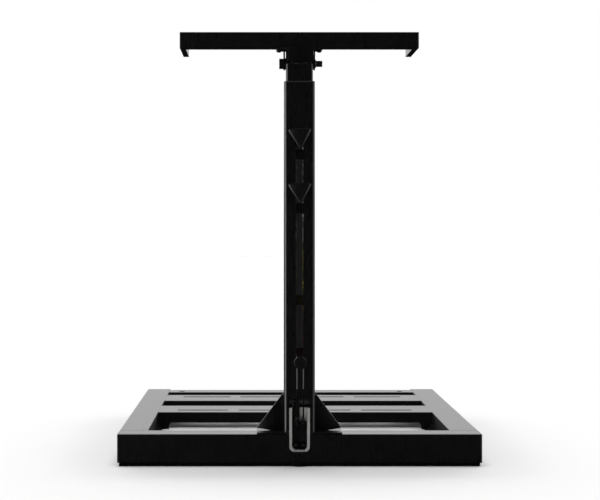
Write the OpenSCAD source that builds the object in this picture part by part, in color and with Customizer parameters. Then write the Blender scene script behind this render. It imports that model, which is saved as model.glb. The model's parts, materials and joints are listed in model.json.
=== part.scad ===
// Free-standing power tower for a gym: a square-tube base frame with two slotted
// accessory rails, a telescoping column with two clamp knobs and a foot release,
// and a tilting T-head with two rearward arms.
// Millimetres. X runs across, Y from front to back, Z up. The origin is on the
// floor, in the middle of the whole footprint, release knob included.

/* [Base frame] */
// Width of the base, across the front beam
base_w = 950; // [850:10:1200]
// Depth of the base, from the front beam's face to the side beams' ends
base_d = 1072; // [1040:4:1400]
// Side of the square base tube
tube = 75; // [70:1:80]
// Wall of the base and column tube
tube_wall = 3; // [2:0.5:4]
// Thickness of the rubber strips that the frame stands on
strip_h = 9; // [6:1:15]

/* [Accessory rails] */
// Width of one rail, front to back
rail_w = 160; // [140:5:180]
// Depth of the rail's folded edges
rail_h = 30; // [20:1:35]
// Thickness of the rail's plate
rail_t = 4; // [3:0.5:6]
// Length of one slot, end to end
slot_l = 152; // [100:2:160]
// Width of one slot
slot_w = 16; // [10:1:20]
// Distance between slot centres
slot_pitch = 180.5; // [170:0.5:190]

/* [Column] */
// Side of the square column tube
column_w = 80; // [78:1:90]
// Height of the column tube's top above the floor
column_top = 1000; // [980:5:1040]
// Width of the slot that the foot release hangs in
notch_w = 54; // [52:1:56]
// Height of that slot's lower end above the floor
notch_bottom = 38; // [34:1:42]

/* [Post and head] */
// Side of the inner post
post_w = 70; // [66:1:70]
// Height of the tilt pivot above the floor, post down
pivot_z = 1052; // [1045:1:1100]
// Diameter of the tilt pin
pivot_d = 16; // [12:1:18]
// Width of the crossbar
bar_w = 627; // [500:1:800]
// Height of the crossbar and the arms
bar_h = 42; // [30:1:50]
// Reach of each arm behind the crossbar
arm_l = 162; // [100:2:240]

/* [Knobs] */
// Side of the three-cornered clamp knob
clamp_side = 64; // [50:1:70]
// Diameter of the release knob
release_d = 32; // [28:1:40]
// How far the release knob's face stands in front of the base
reach = 75; // [70:1:90]

/* [Hidden] */
$fn = 48;
paint = "#141415";
plastic = "#1c1c1d";
rubber = "#0d0d0d";
steel = "#b9bbbd";
acetal = "#e4e4e0";

// Planes of the base
front = -(base_d - reach) / 2;
frame_top = strip_h + tube;
beam_r = 2.5;
cap_t = 4;
plug_l = 20;
plug_t = 2;
plate_t = 5;
side_l = base_d - tube - cap_t;
bay_w = base_w - 2 * tube;
rear_set = 22;
rear_beam_y = front + base_d - rear_set - tube;
centre_foot_d = 60;
centre_foot_y = front + 25;

// Floor-anchor holes in the rear beam
anchor_d = 20;
anchor_x = 358;
anchor_y = rear_beam_y + 31;

// Rails: each slot line lies near the rail's outer edge
front_rail_y = front + 456;
rear_rail_y = front + 740;
slot_edge = 52;
slot_count = 4;
fold_r = 2.5;

// Cleats under the rail ends, and their hexagon bolts
cleat_leg = 36;
cleat_w = 70;
cleat_drop = 19;
cleat_t = 4;
rib_top = 32;
rib_foot = 12;
cleat_bolt_y = 20;
cleat_bolt_z = 11;
bolt_d = 8;
bolt_head_d = 13;
bolt_head_h = 5;

// Column and its openings
column_r = 7;
face = front + 3;
axis_y = face + column_w / 2;
column_base = frame_top + plate_t;
column_in = column_w - 2 * tube_wall;
flange_w = 222;
flange_d = 90;
gusset_t = 6;
gusset_h = 95;
gusset_foot = 34;
gusset_lift = 6;
gusset_nose = 3;
gusset_tip = 5;
notch_top = 176;
notch_r = 13;
notch_depth = 45;
guide_screw_x = 9.5;
guide_screw_z = 25;
guide_screw_d = 5;
window_w = 18;
window_h = 25;
window_r = 3;
window_z = [812, 672, 433];
pin_slot = [255, 306];
zone_w = 20;
zone_t = 0.8;
clamp_z = [857, 716.5];
clamp_d = 12;
nut_d = 24;
nut_h = 9;
knob_front = 58;
knob_t = 14;
knob_roll = 3;
hub_d = 26;
hub_l = 22;
knob_bore = 8;
knob_bevel = 4;
fit = 0.05;

// Foot release
axle_z = 167;
barrel_d = 22;
axle_y = front + 22;
axle_d = 10;
sleeve_d = 16;
pedal_w = 38;
pedal_t = 6;
pedal_y = front + 9;
pedal_bottom = 45;
pedal_top = 116;
neck_w = 18;
rod_d = 3;
rod_gap = 16;
rod_y = front - 58;
rod_end = 117;
arm_z = 127;
arm_t = 4;
arm_strip_w = 8;
arm_over = 10;
fork_l = 12;
rod_nut = 7;
rod_top = 274;
sleeve_top = 208;
toe_z = 55;
toe_t = 3;
toe_screw_x = 10;
toe_screw_d = 5;
guide_depth = 30;
guide_top = 152;
guide_tab = 32;
guide_play = 0.8;
pocket_low = pedal_bottom - 3;
pocket_step = pedal_top + 1.5;
shelf_y = front + 14.5;
release_z = 276;
release_pin_d = 12;
release_pin_end = 28;
release_rim = 12;
release_hub_d = 24;
release_hub_l = 11;
block_z = [236, 310];
block_bolt_z = [249, 297];
block_bolt_l = 26;
rod_grip = 20;

// Post and gas spring
post_bottom = 420;
post_r = 5;
post_wall = 3;
post_shoulder = 1048;
cheek_r = 26;
bush_gap = 0.1;
gas_rod_d = 10;
gas_d = 28;
gas_bottom = 470;
gas_top = 900;
gas_pin_z = 912;
piston_z = 835;

// Head
ear_x = 37.5;
ear_t = 4;
ear_r = 17;
head_w = 120;
head_half = 27;
web_w = 72;
web_y = front + 2;
head_z = pivot_z + 35;
bar_z = head_z + plate_t;
bar_y = front + 30;
bar_d = 35;
bar_mid = bar_y + bar_d / 2;
arm_w = 15;
bar_wall = 2.5;
bar_r = 1;
arm_cap_t = 3;
head_screw_x = 53;
head_screw_y = 9;
head_screw_d = 6;
head_screw_h = 3.5;
hex_w = 24;
hex_h = 11;
pin_reach = 61;
clip_d = 22;

// ---- Shared outlines ----

module rounded_rect(w, d, r) {
    square([w - 2 * r, d], center = true);
    square([w, d - 2 * r], center = true);
    for (sx = [-1, 1], sy = [-1, 1])
        translate([sx * (w / 2 - r), sy * (d / 2 - r)]) circle(r);
}

module tube_outline(w, d, r, wall) {
    difference() {
        rounded_rect(w, d, r);
        rounded_rect(w - 2 * wall, d - 2 * wall, max(r - wall, 0.5));
    }
}

// An outline in Y and Z, drawn out along X from its middle
module along_x(l) rotate([90, 0, 90]) linear_extrude(l, center = true) children();

// An outline in X and Z, drawn out towards the back from its front
module along_y(l) rotate([90, 0, 0]) mirror([0, 0, 1]) linear_extrude(l) children();

// A round bar that runs towards the back from its front
module bar_y_axis(d, l) rotate([-90, 0, 0]) cylinder(d = d, h = l);

module bar_x_axis(d, l) rotate([0, 90, 0]) cylinder(d = d, h = l, center = true);

module box_from(low, high) translate(low) cube(high - low);

module mirrored_pair() {
    children();
    mirror([1, 0, 0]) children();
}

module stadium(l, w) {
    square([l - w, w], center = true);
    for (s = [-1, 1]) translate([s * (l - w) / 2, 0]) circle(d = w);
}

// Outline of the foot-release slot, in X and Z
module notch_outline(gap, top) {
    w = notch_w - 2 * gap;
    r = notch_r - gap;
    low = notch_bottom + gap;
    translate([-w / 2, low + r]) square([w, top - low - r]);
    translate([-w / 2 + r, low]) square([w - 2 * r, r + 1]);
    for (s = [-1, 1])
        translate([s * (w / 2 - r), low + r]) circle(r);
}

module at_guide_screws(y)
    for (s = [-1, 1]) translate([s * guide_screw_x, y, guide_screw_z]) children();

// ---- Base frame ----

module front_beam() color(paint) difference() {
    translate([0, front + tube / 2, strip_h + tube / 2])
        along_x(base_w - 2 * tube_wall) tube_outline(tube, tube, beam_r, tube_wall);
    translate([0, front - 1, 0]) along_y(tube_wall + 2) notch_outline(0, frame_top + 1);
    box_from([-notch_w / 2, front - 1, frame_top - 2 * tube_wall],
             [notch_w / 2, front + notch_depth, frame_top + 1]);
    at_guide_screws(front - 1) bar_y_axis(guide_screw_d, tube_wall + 2);
}

module front_beam_end_plates() color(paint) mirrored_pair()
    translate([base_w / 2 - tube_wall / 2, front + tube / 2, strip_h + tube / 2])
        along_x(tube_wall) rounded_rect(tube, tube, beam_r);

module side_beam() color(paint)
    translate([base_w / 2 - tube / 2, front + tube, strip_h + tube / 2])
        along_y(side_l) tube_outline(tube, tube, beam_r, tube_wall);

module left_side_beam() mirror([1, 0, 0]) side_beam();

module right_side_beam() side_beam();

module side_beam_caps() color(plastic) mirrored_pair()
    translate([base_w / 2 - tube / 2, front + base_d - cap_t, strip_h + tube / 2]) {
        along_y(cap_t) rounded_rect(tube, tube, beam_r);
        translate([0, -plug_l, 0]) along_y(plug_l)
            tube_outline(tube - 2 * tube_wall, tube - 2 * tube_wall, 1, plug_t);
    }

module rear_beam() color(paint) difference() {
    translate([0, rear_beam_y + tube / 2, strip_h + tube / 2])
        along_x(bay_w) tube_outline(tube, tube, beam_r, tube_wall);
    for (s = [-1, 1])
        translate([s * anchor_x, anchor_y, strip_h - 1]) cylinder(d = anchor_d, h = tube + 2);
}

// ---- Accessory rails ----

module rail_outline() difference() {
    union() {
        rounded_rect(rail_w, rail_h, fold_r);
        translate([-rail_w / 2, -rail_h / 2]) square([rail_w, rail_h / 2]);
    }
    bay = (rail_w - 3 * rail_t) / 2;
    for (s = [-1, 1])
        translate([s * (bay + rail_t) / 2 - bay / 2, -rail_h / 2 - 1])
            square([bay, rail_h - rail_t + 1]);
}

// One rail, its front edge at y, its slot line at line_y
module rail(y, line_y) color(paint) difference() {
    translate([0, y + rail_w / 2, frame_top - rail_h / 2]) along_x(bay_w) rail_outline();
    for (i = [0 : slot_count - 1])
        translate([(i - (slot_count - 1) / 2) * slot_pitch, line_y, frame_top - rail_t - 1])
            linear_extrude(rail_t + 2) stadium(slot_l, slot_w);
}

module front_rail() rail(front_rail_y, front_rail_y + slot_edge);

module rear_rail() rail(rear_rail_y, rear_rail_y + rail_w - slot_edge);

// Places the children at the left and right ends of both rails, at the rail's middle
module at_rail_ends()
    for (y = [front_rail_y, rear_rail_y])
        mirrored_pair() translate([bay_w / 2, y + rail_w / 2, frame_top - rail_h]) children();

// Angle under a rail end, with a rib at its front and back
module rail_cleats() color(paint) at_rail_ends() difference() {
    union() {
        box_from([-cleat_leg, -rail_w / 2, -cleat_t], [0, rail_w / 2, 0]);
        box_from([-cleat_t, -cleat_w / 2, -cleat_drop], [0, cleat_w / 2, 0]);
        for (y = [-rail_w / 2, rail_w / 2 - cleat_t])
            translate([0, y, 0]) along_y(cleat_t) polygon([
                [-rib_top - 2, -1], [-rib_top, -cleat_drop], [-rib_foot, -cleat_drop], [0, -1]]);
    }
    for (s = [-1, 1])
        translate([0, s * cleat_bolt_y, -cleat_bolt_z]) bar_x_axis(bolt_d, 4 * cleat_t);
}

// A hexagon bolt's head with its shank, pointing up from the underside of the head
module hex_bolt(l) {
    rotate(30) cylinder(d = bolt_head_d / cos(30), h = bolt_head_h, $fn = 6);
    translate([0, 0, -l]) cylinder(d = bolt_d, h = l);
}

module rail_bolts() color(steel) at_rail_ends()
    for (s = [-1, 1])
        translate([-cleat_t, s * cleat_bolt_y, -cleat_bolt_z]) rotate([0, -90, 0]) hex_bolt(cleat_t);

// ---- Rubber feet ----

// Cross-section of a foot strip, a little narrower where it meets the floor
module strip_outline(w) polygon([
    [-w / 2 + 2, 0], [w / 2 - 2, 0], [w / 2, 2], [w / 2, strip_h], [-w / 2, strip_h], [-w / 2, 2]]);

module front_foot_strip() color(rubber) difference() {
    translate([0, front + tube / 2, 0]) along_x(base_w - 10) strip_outline(tube - 10);
    translate([0, centre_foot_y, -1]) cylinder(d = centre_foot_d + 2, h = strip_h + 2);
}

module side_strip() color(rubber)
    translate([base_w / 2 - tube / 2, front + tube, 0])
        along_y(base_d - tube - 8) strip_outline(tube - 10);

module left_foot_strip() mirror([1, 0, 0]) side_strip();

module right_foot_strip() side_strip();

module rear_foot_strip() color(rubber)
    translate([0, rear_beam_y + tube / 2, 0])
        along_x(2 * (anchor_x - anchor_d)) strip_outline(tube - 10);

module centre_foot() color(rubber)
    translate([0, centre_foot_y, 0]) rotate_extrude() polygon([
        [0, 0], [centre_foot_d / 2 - 2, 0], [centre_foot_d / 2, 2], [centre_foot_d / 2, strip_h],
        [0, strip_h]]);

// ---- Column ----

module column_flange() color(paint) difference() {
    box_from([-flange_w / 2, front, frame_top],
             [flange_w / 2, front + flange_d, frame_top + plate_t]);
    box_from([-notch_w / 2, front - 1, frame_top - 1],
             [notch_w / 2, front + notch_depth, frame_top + plate_t + 1]);
}

module gusset() color(paint)
    translate([0, axis_y - gusset_t / 2, column_base]) along_y(gusset_t)
        polygon([
            [column_w / 2, 0], [column_w / 2 + gusset_foot, 0], [flange_w / 2 - 1, gusset_lift],
            [flange_w / 2 - 1, gusset_lift + gusset_nose], [column_w / 2 + gusset_tip, gusset_h],
            [column_w / 2, gusset_h]]);

module left_gusset() mirror([1, 0, 0]) gusset();

module right_gusset() gusset();

module column_tube() color(paint) difference() {
    translate([0, axis_y, column_base]) linear_extrude(column_top - column_base)
        tube_outline(column_w, column_w, column_r, tube_wall);
    box_from([-notch_w / 2, front, column_base - 1], [notch_w / 2, face + 5, notch_top]);
    for (z = window_z)
        translate([0, face - 1, z]) along_y(tube_wall + 2) rounded_rect(window_w, window_h, window_r);
    translate([0, face - 1, (pin_slot[0] + pin_slot[1]) / 2]) along_y(tube_wall + 2)
        rounded_rect(window_w, pin_slot[1] - pin_slot[0], window_r);
    for (z = clamp_z)
        translate([0, face - 1, z]) bar_y_axis(clamp_d + 2, tube_wall + 2);
    translate([0, axle_y, axle_z]) bar_x_axis(axle_d, column_w + 2);
    for (z = block_bolt_z)
        translate([0, face + column_w - tube_wall - 1, z]) bar_y_axis(bolt_d, tube_wall + 2);
}

module upper_guide_bush() color(plastic) {
    translate([0, axis_y, column_top - 40]) linear_extrude(40)
        tube_outline(column_in, column_in, column_r - tube_wall,
                     (column_in - post_w) / 2 - bush_gap);
    translate([0, axis_y, column_top]) linear_extrude(3)
        tube_outline(column_w, column_w, column_r, (column_w - post_w) / 2 - bush_gap);
}

// A stretch of the zone scale, cut away around the clamp nuts
module zone_strip(low, high, tint) color(tint) difference() {
    box_from([-zone_w / 2, face - zone_t, low], [zone_w / 2, face, high]);
    for (z = clamp_z)
        translate([0, face - 2, z]) bar_y_axis(nut_d + 2, 4);
    for (z = window_z)
        box_from([-zone_w, face - 2, z - window_h / 2 - 1], [zone_w, face + 1, z + window_h / 2 + 1]);
}

module zone_strip_upper() zone_strip(584, 831, "#8f9091");

module zone_strip_middle() zone_strip(410, 583, "#6e6114");

module zone_strip_lower() zone_strip(308, 409, "#5c1518");

module window_liners() color(plastic)
    for (z = window_z)
        translate([0, face + 0.2, z]) along_y(tube_wall - 0.2)
            tube_outline(window_w, window_h, window_r, 1.2);

module clamp_nuts() color(paint)
    for (z = clamp_z)
        translate([0, face - nut_h, z]) difference() {
            bar_y_axis(nut_d, nut_h);
            translate([0, -1, 0]) bar_y_axis(clamp_d + 2 * fit, nut_h + 2);
        }

// ---- Foot release, fixed parts ----

// Lines the slot. The pedal's plate swings in the rounded pocket and its neck on the
// left above it; right of the neck the guide comes further forward.
module pedal_guide() color(acetal) difference() {
    w = pedal_w + 2 * guide_play;
    r = notch_r - 1;
    union() {
        translate([0, front + 1, 0]) along_y(guide_depth + 2) notch_outline(0.2, guide_top);
        box_from([-guide_tab / 2, front + tube_wall, notch_bottom - 22],
                 [guide_tab / 2, front + tube_wall + 6, notch_bottom + 6]);
    }
    translate([0, front, 0]) along_y(guide_depth) {
        translate([-w / 2, pocket_low + r]) square([w, pocket_step - pocket_low - r]);
        translate([-w / 2 + r, pocket_low]) square([w - 2 * r, r + 1]);
        for (s = [-1, 1]) translate([s * (w / 2 - r), pocket_low + r]) circle(r);
        translate([-w / 2, pocket_step - 1]) square([w / 2 + guide_play, guide_top]);
    }
    box_from([-w / 2, front, pocket_step - 1], [w / 2, shelf_y, guide_top + 1]);
    box_from([-notch_w / 4, front, notch_bottom - 1], [notch_w / 4, front + 6, pocket_low + 1]);
    at_guide_screws(front) bar_y_axis(guide_screw_d, 12);
}

module guide_screws() color(plastic)
    at_guide_screws(front + 0.6) bar_y_axis(guide_screw_d, tube_wall + 5);

module pedal_axle() color(steel) translate([0, axle_y, axle_z]) bar_x_axis(axle_d, column_w);

// Two tubes that hold the pedal's barrel sideways on its axle
module axle_sleeves() color(paint)
    for (ends = [[-column_in / 2, -neck_w - 0.3], [0.3, column_in / 2]])
        translate([(ends[0] + ends[1]) / 2, axle_y, axle_z]) difference() {
            bar_x_axis(sleeve_d, ends[1] - ends[0]);
            bar_x_axis(axle_d, column_w);
        }

module release_block() color("#6f7173") difference() {
    box_from([-column_in / 2 + 5, face + 7, block_z[0]],
             [column_in / 2 - 5, face + column_w - tube_wall, block_z[1]]);
    box_from([-release_pin_d / 2 - 0.3, face, pin_slot[0]],
             [release_pin_d / 2 + 0.3, front + 32, pin_slot[1] - 20]);
    translate([0, axis_y, block_z[1] - rod_grip]) cylinder(d = gas_rod_d, h = rod_grip + 1);
    for (z = block_bolt_z)
        translate([0, face + column_w - block_bolt_l, z]) bar_y_axis(bolt_d, block_bolt_l + 1);
}

module release_block_bolts() color(steel)
    for (z = block_bolt_z)
        translate([0, face + column_w, z]) rotate([-90, 0, 0]) hex_bolt(block_bolt_l);

module gas_spring_rod() color(steel) {
    translate([0, axis_y, block_z[1] - rod_grip])
        cylinder(d = gas_rod_d, h = piston_z - block_z[1] + rod_grip + 15);
    translate([0, axis_y, piston_z]) cylinder(d = gas_d - 4.4, h = 15);
}

// ---- Post, moving up and down ----

module inner_post() color(paint) difference() {
    union() {
        translate([0, axis_y, post_bottom]) linear_extrude(post_shoulder - post_bottom)
            tube_outline(post_w, post_w, post_r, post_wall);
        mirrored_pair() translate([post_w / 2 - post_wall / 2, axis_y, 0]) along_x(post_wall) {
            translate([0, pivot_z]) circle(cheek_r);
            translate([-cheek_r, post_shoulder - 1]) square([2 * cheek_r, pivot_z - post_shoulder + 1]);
        }
    }
    translate([0, axis_y, pivot_z]) bar_x_axis(pivot_d + 2 * fit, post_w + 2);
    translate([0, axis_y, gas_pin_z]) bar_x_axis(gas_rod_d, post_w + 2);
}

module lower_guide_bush() color(plastic)
    translate([0, axis_y, post_bottom + 4]) linear_extrude(36) difference() {
        w = column_in - 2 * bush_gap;
        rounded_rect(w, w, column_r - tube_wall);
        rounded_rect(post_w, post_w, post_r);
    }

module gas_spring_cylinder() color(plastic) translate([0, axis_y, 0]) difference() {
    union() {
        translate([0, 0, gas_bottom]) cylinder(d = gas_d, h = gas_top - gas_bottom);
        translate([0, 0, gas_top]) cylinder(d = 20, h = 24);
    }
    translate([0, 0, gas_bottom + 20]) cylinder(d = gas_d - 4, h = gas_top - gas_bottom - 30);
    translate([0, 0, gas_bottom - 1]) cylinder(d = gas_rod_d + 2 * fit, h = 22);
    translate([0, 0, gas_pin_z]) bar_x_axis(gas_rod_d, 30);
}

module gas_spring_pin() color(steel) translate([0, axis_y, gas_pin_z]) bar_x_axis(gas_rod_d, post_w);

module pivot_spacer() color(steel) translate([0, axis_y, pivot_z]) difference() {
    bar_x_axis(22, post_w - 2 * post_wall);
    bar_x_axis(pivot_d + 2 * fit, post_w);
}

// ---- Tilting head ----

module head_bracket() color(paint) difference() {
    union() {
        box_from([-head_w / 2, axis_y - head_half, head_z],
                 [head_w / 2, axis_y + head_half, bar_z]);
        box_from([-web_w / 2, web_y, head_z], [web_w / 2, axis_y - head_half + 1, bar_z]);
        box_from([-web_w / 2, web_y, pivot_z + 4], [web_w / 2, web_y + plate_t, bar_z]);
        mirrored_pair() translate([ear_x + ear_t / 2, axis_y, pivot_z]) along_x(ear_t) {
            circle(ear_r);
            polygon([[-ear_r, 0], [ear_r, 0], [ear_r + 3, head_z - pivot_z],
                     [-ear_r - 3, head_z - pivot_z]]);
        }
    }
    translate([0, axis_y, pivot_z]) bar_x_axis(pivot_d, 2 * ear_x + 20);
    at_head_screws(head_z - 1) cylinder(d = head_screw_d, h = plate_t + 2);
}

module at_head_screws(z)
    for (s = [-1, 1], t = [-1, 1])
        translate([s * head_screw_x, bar_mid + t * head_screw_y, z]) children();

module head_screws() color(paint) at_head_screws(head_z - head_screw_h) {
    cylinder(d = head_screw_d + 4, h = head_screw_h);
    cylinder(d = head_screw_d, h = head_screw_h + plate_t + bar_wall);
}

module pivot_pin() color(paint) {
    shoulder = ear_x + ear_t;
    translate([(pin_reach - shoulder) / 2, axis_y, pivot_z])
        bar_x_axis(pivot_d, pin_reach + shoulder);
    translate([-shoulder - hex_h / 2, axis_y, pivot_z]) rotate([0, 90, 0]) rotate(30)
        cylinder(d = hex_w / cos(30), h = hex_h, center = true, $fn = 6);
}

module pivot_clip() color(steel)
    translate([ear_x + ear_t + 1.2, axis_y, pivot_z]) difference() {
        bar_x_axis(clip_d, 2);
        bar_x_axis(pivot_d, 4);
    }

module thrust_washers() color(plastic) mirrored_pair()
    translate([(ear_x + post_w / 2) / 2 + 0.05, axis_y, pivot_z]) difference() {
        bar_x_axis(30, ear_x - post_w / 2 - 0.1);
        bar_x_axis(pivot_d, 10);
    }

module crossbar() color(paint) difference() {
    translate([0, bar_mid, bar_z + bar_h / 2])
        along_x(bar_w - 2 * bar_wall) tube_outline(bar_d, bar_h, bar_r, bar_wall);
    at_head_screws(bar_z - 1) cylinder(d = head_screw_d, h = bar_wall + 2);
}

module crossbar_caps() color(plastic) mirrored_pair()
    translate([bar_w / 2, bar_mid, bar_z + bar_h / 2]) {
        translate([-bar_wall / 2, 0, 0]) along_x(bar_wall) rounded_rect(bar_d, bar_h, bar_r);
        translate([-bar_wall - plug_l / 2, 0, 0]) along_x(plug_l)
            tube_outline(bar_d - 2 * bar_wall, bar_h - 2 * bar_wall, 1, plug_t);
    }

module arm() color(paint)
    translate([bar_w / 2 - arm_w / 2, bar_y + bar_d, bar_z + bar_h / 2])
        along_y(arm_l - arm_cap_t) tube_outline(arm_w, bar_h, bar_r, bar_wall);

module left_arm() mirror([1, 0, 0]) arm();

module right_arm() arm();

module arm_caps() color(plastic) mirrored_pair()
    translate([bar_w / 2 - arm_w / 2, bar_y + bar_d + arm_l - arm_cap_t, bar_z + bar_h / 2]) {
        along_y(arm_cap_t) rounded_rect(arm_w, bar_h, bar_r);
        translate([0, -plug_l, 0]) along_y(plug_l)
            tube_outline(arm_w - 2 * bar_wall, bar_h - 2 * bar_wall, 1, plug_t);
    }

// ---- Clamp knobs ----

// Triangle standing on its point, its corners cut off
module knob_outline() {
    r = clamp_side / sqrt(3);
    cut = 0.1;
    corner = [for (i = [0 : 2]) r * [cos(120 * i - 90), sin(120 * i - 90)]];
    polygon([for (i = [0 : 2], k = [2, 1])
        corner[i] + cut * (corner[(i + k) % 3] - corner[i])]);
}

module clamp_knob(z) color(plastic) translate([0, front - knob_front, z]) rotate([0, knob_roll, 0]) {
    difference() {
        along_y(knob_t) knob_outline();
        for (i = [0 : 2])
            rotate([0, 120 * i, 0]) translate([0, 0, clamp_side / sqrt(12)])
                rotate([45, 0, 0]) cube([clamp_side, knob_bevel, knob_bevel], center = true);
        translate([0, knob_t - knob_bore, 0]) bar_y_axis(clamp_d, knob_bore + 1);
    }
    translate([0, knob_t, 0]) difference() {
        bar_y_axis(hub_d, hub_l);
        translate([0, -1, 0]) bar_y_axis(clamp_d, hub_l + 2);
    }
}

module clamp_screw(z) color(steel) {
    head_y = front - knob_front + knob_t - knob_bore;
    post_face = face + (column_w - post_w) / 2;
    translate([0, head_y, z]) bar_y_axis(clamp_d, post_face - 0.3 - head_y);
}

module upper_clamp_knob() clamp_knob(clamp_z[0]);

module upper_clamp_screw() clamp_screw(clamp_z[0]);

module lower_clamp_knob() clamp_knob(clamp_z[1]);

module lower_clamp_screw() clamp_screw(clamp_z[1]);

// ---- Foot release, sliding parts ----

module release_knob() color(plastic) translate([0, front - reach, release_z]) difference() {
    union() {
        rotate([-90, 0, 0]) rotate_extrude() polygon([
            [0, 0], [release_d / 2 - 1, 0], [release_d / 2, 1], [release_d / 2, release_rim],
            [0, release_rim]]);
        translate([0, release_rim, 0]) bar_y_axis(release_hub_d, release_hub_l);
    }
    translate([0, knob_bore, 0]) bar_y_axis(release_pin_d, release_rim + release_hub_l);
    for (s = [-1, 1])
        translate([s * rod_gap / 2, rod_y - front + reach, -20]) cylinder(d = rod_d, h = 20);
}

module release_pin() color(steel)
    translate([0, front - reach + knob_bore, release_z])
        bar_y_axis(release_pin_d, reach - knob_bore + release_pin_end);

module pull_rods() color(steel)
    for (s = [-1, 1])
        translate([s * rod_gap / 2, rod_y, rod_end]) cylinder(d = rod_d, h = rod_top - rod_end);

module rod_sleeves() color(rubber)
    for (s = [-1, 1])
        translate([s * rod_gap / 2, rod_y, arm_z + arm_t + 3]) difference() {
            cylinder(d = rod_d + 1.2, h = sleeve_top - arm_z - arm_t - 3);
            translate([0, 0, -1]) cylinder(d = rod_d, h = 100);
        }

module rod_nuts() color(paint)
    for (s = [-1, 1])
        translate([s * rod_gap / 2, rod_y, rod_end + 1]) difference() {
            cylinder(d = rod_nut, h = rod_nut);
            translate([0, 0, -1]) cylinder(d = rod_d, h = rod_nut + 2);
        }

// ---- Pedal ----

module pedal() color(paint) difference() {
    union() {
        translate([0, pedal_y, 0]) along_y(pedal_t) {
            translate([0, (pedal_bottom + pedal_top) / 2])
                rounded_rect(pedal_w, pedal_top - pedal_bottom, 12);
            translate([-pedal_w / 2, pedal_top - 20]) square([pedal_w, 20]);
            translate([-neck_w, pedal_top - 1]) square([neck_w, axle_z - pedal_top]);
        }
        translate([-neck_w / 2, axle_y, axle_z]) bar_x_axis(barrel_d, neck_w);
    }
    translate([-neck_w / 2, axle_y, axle_z]) bar_x_axis(axle_d + 2 * fit, neck_w + 2);
    at_toe_screws(pedal_y - 1) bar_y_axis(toe_screw_d, pedal_t + 2);
}

module at_toe_screws(y)
    for (s = [-1, 1]) translate([s * toe_screw_x, y, toe_z]) children();

// Two bent strips that reach forward from the pedal to the pull rods
module pedal_arms() color(paint)
    for (s = [-1, 1])
        translate([s * rod_gap / 2, 0, 0]) difference() {
            union() {
                box_from([-arm_strip_w / 2, rod_y - arm_over, arm_z],
                         [arm_strip_w / 2, pedal_y, arm_z + arm_t]);
                box_from([-arm_strip_w / 2, pedal_y - arm_t, pedal_top - 24],
                         [arm_strip_w / 2, pedal_y, arm_z + 1]);
            }
            translate([0, rod_y - 2, arm_z - 1]) linear_extrude(arm_t + 2)
                rotate(90) stadium(fork_l, rod_d + 1.4);
        }

module toe_pad() color(rubber) difference() {
    translate([0, pedal_y - toe_t, 0]) along_y(toe_t) translate([0, toe_z])
        rounded_rect(pedal_w - 6, 20, 6);
    at_toe_screws(pedal_y - toe_t - 1) bar_y_axis(toe_screw_d, toe_t + 2);
}

module toe_pad_screws() color(steel) at_toe_screws(pedal_y - toe_t - 1.5) {
    bar_y_axis(toe_screw_d + 3, 1.5);
    bar_y_axis(toe_screw_d, toe_t + 1.5 + pedal_t);
}

front_beam();
front_beam_end_plates();
left_side_beam();
right_side_beam();
rear_beam();
side_beam_caps();
front_rail();
rear_rail();
rail_cleats();
rail_bolts();
front_foot_strip();
left_foot_strip();
right_foot_strip();
rear_foot_strip();
centre_foot();
column_flange();
left_gusset();
right_gusset();
column_tube();
upper_guide_bush();
zone_strip_upper();
zone_strip_middle();
zone_strip_lower();
window_liners();
clamp_nuts();
pedal_guide();
guide_screws();
pedal_axle();
axle_sleeves();
release_block();
release_block_bolts();
gas_spring_rod();
inner_post();
lower_guide_bush();
gas_spring_cylinder();
gas_spring_pin();
pivot_spacer();
head_bracket();
head_screws();
pivot_pin();
pivot_clip();
thrust_washers();
crossbar();
crossbar_caps();
left_arm();
right_arm();
arm_caps();
upper_clamp_knob();
upper_clamp_screw();
lower_clamp_knob();
lower_clamp_screw();
release_knob();
release_pin();
pull_rods();
rod_sleeves();
rod_nuts();
pedal();
pedal_arms();
toe_pad();
toe_pad_screws();
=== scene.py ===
# Power tower for a gym: a square-tube base with slotted rails, a telescoping column
# with clamp knobs and a foot release, and a tilting T-head. Metres, +Z up.
import json
import math

import bmesh
import bpy
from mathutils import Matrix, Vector

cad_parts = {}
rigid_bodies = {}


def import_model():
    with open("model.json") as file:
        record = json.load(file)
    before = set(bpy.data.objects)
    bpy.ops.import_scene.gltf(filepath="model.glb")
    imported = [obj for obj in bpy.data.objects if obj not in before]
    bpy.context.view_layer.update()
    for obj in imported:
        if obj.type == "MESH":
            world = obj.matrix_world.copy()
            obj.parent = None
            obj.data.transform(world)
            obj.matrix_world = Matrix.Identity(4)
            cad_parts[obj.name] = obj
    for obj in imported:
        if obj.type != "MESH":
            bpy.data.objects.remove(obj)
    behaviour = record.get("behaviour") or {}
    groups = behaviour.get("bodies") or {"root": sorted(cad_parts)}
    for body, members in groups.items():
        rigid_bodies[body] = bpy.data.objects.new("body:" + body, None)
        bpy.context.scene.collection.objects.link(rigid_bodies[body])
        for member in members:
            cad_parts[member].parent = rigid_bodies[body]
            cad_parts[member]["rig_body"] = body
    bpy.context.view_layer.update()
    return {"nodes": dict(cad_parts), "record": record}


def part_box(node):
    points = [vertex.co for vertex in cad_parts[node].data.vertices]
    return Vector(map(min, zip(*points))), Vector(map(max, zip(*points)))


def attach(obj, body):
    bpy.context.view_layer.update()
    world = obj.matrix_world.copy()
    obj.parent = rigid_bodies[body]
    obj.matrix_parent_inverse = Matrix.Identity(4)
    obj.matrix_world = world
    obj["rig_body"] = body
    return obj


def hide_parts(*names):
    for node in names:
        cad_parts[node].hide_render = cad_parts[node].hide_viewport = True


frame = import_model()
nodes = frame["nodes"]
slot_of = {row["node"]: row["material_slot"] for row in frame["record"]["subparts"]}


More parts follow.
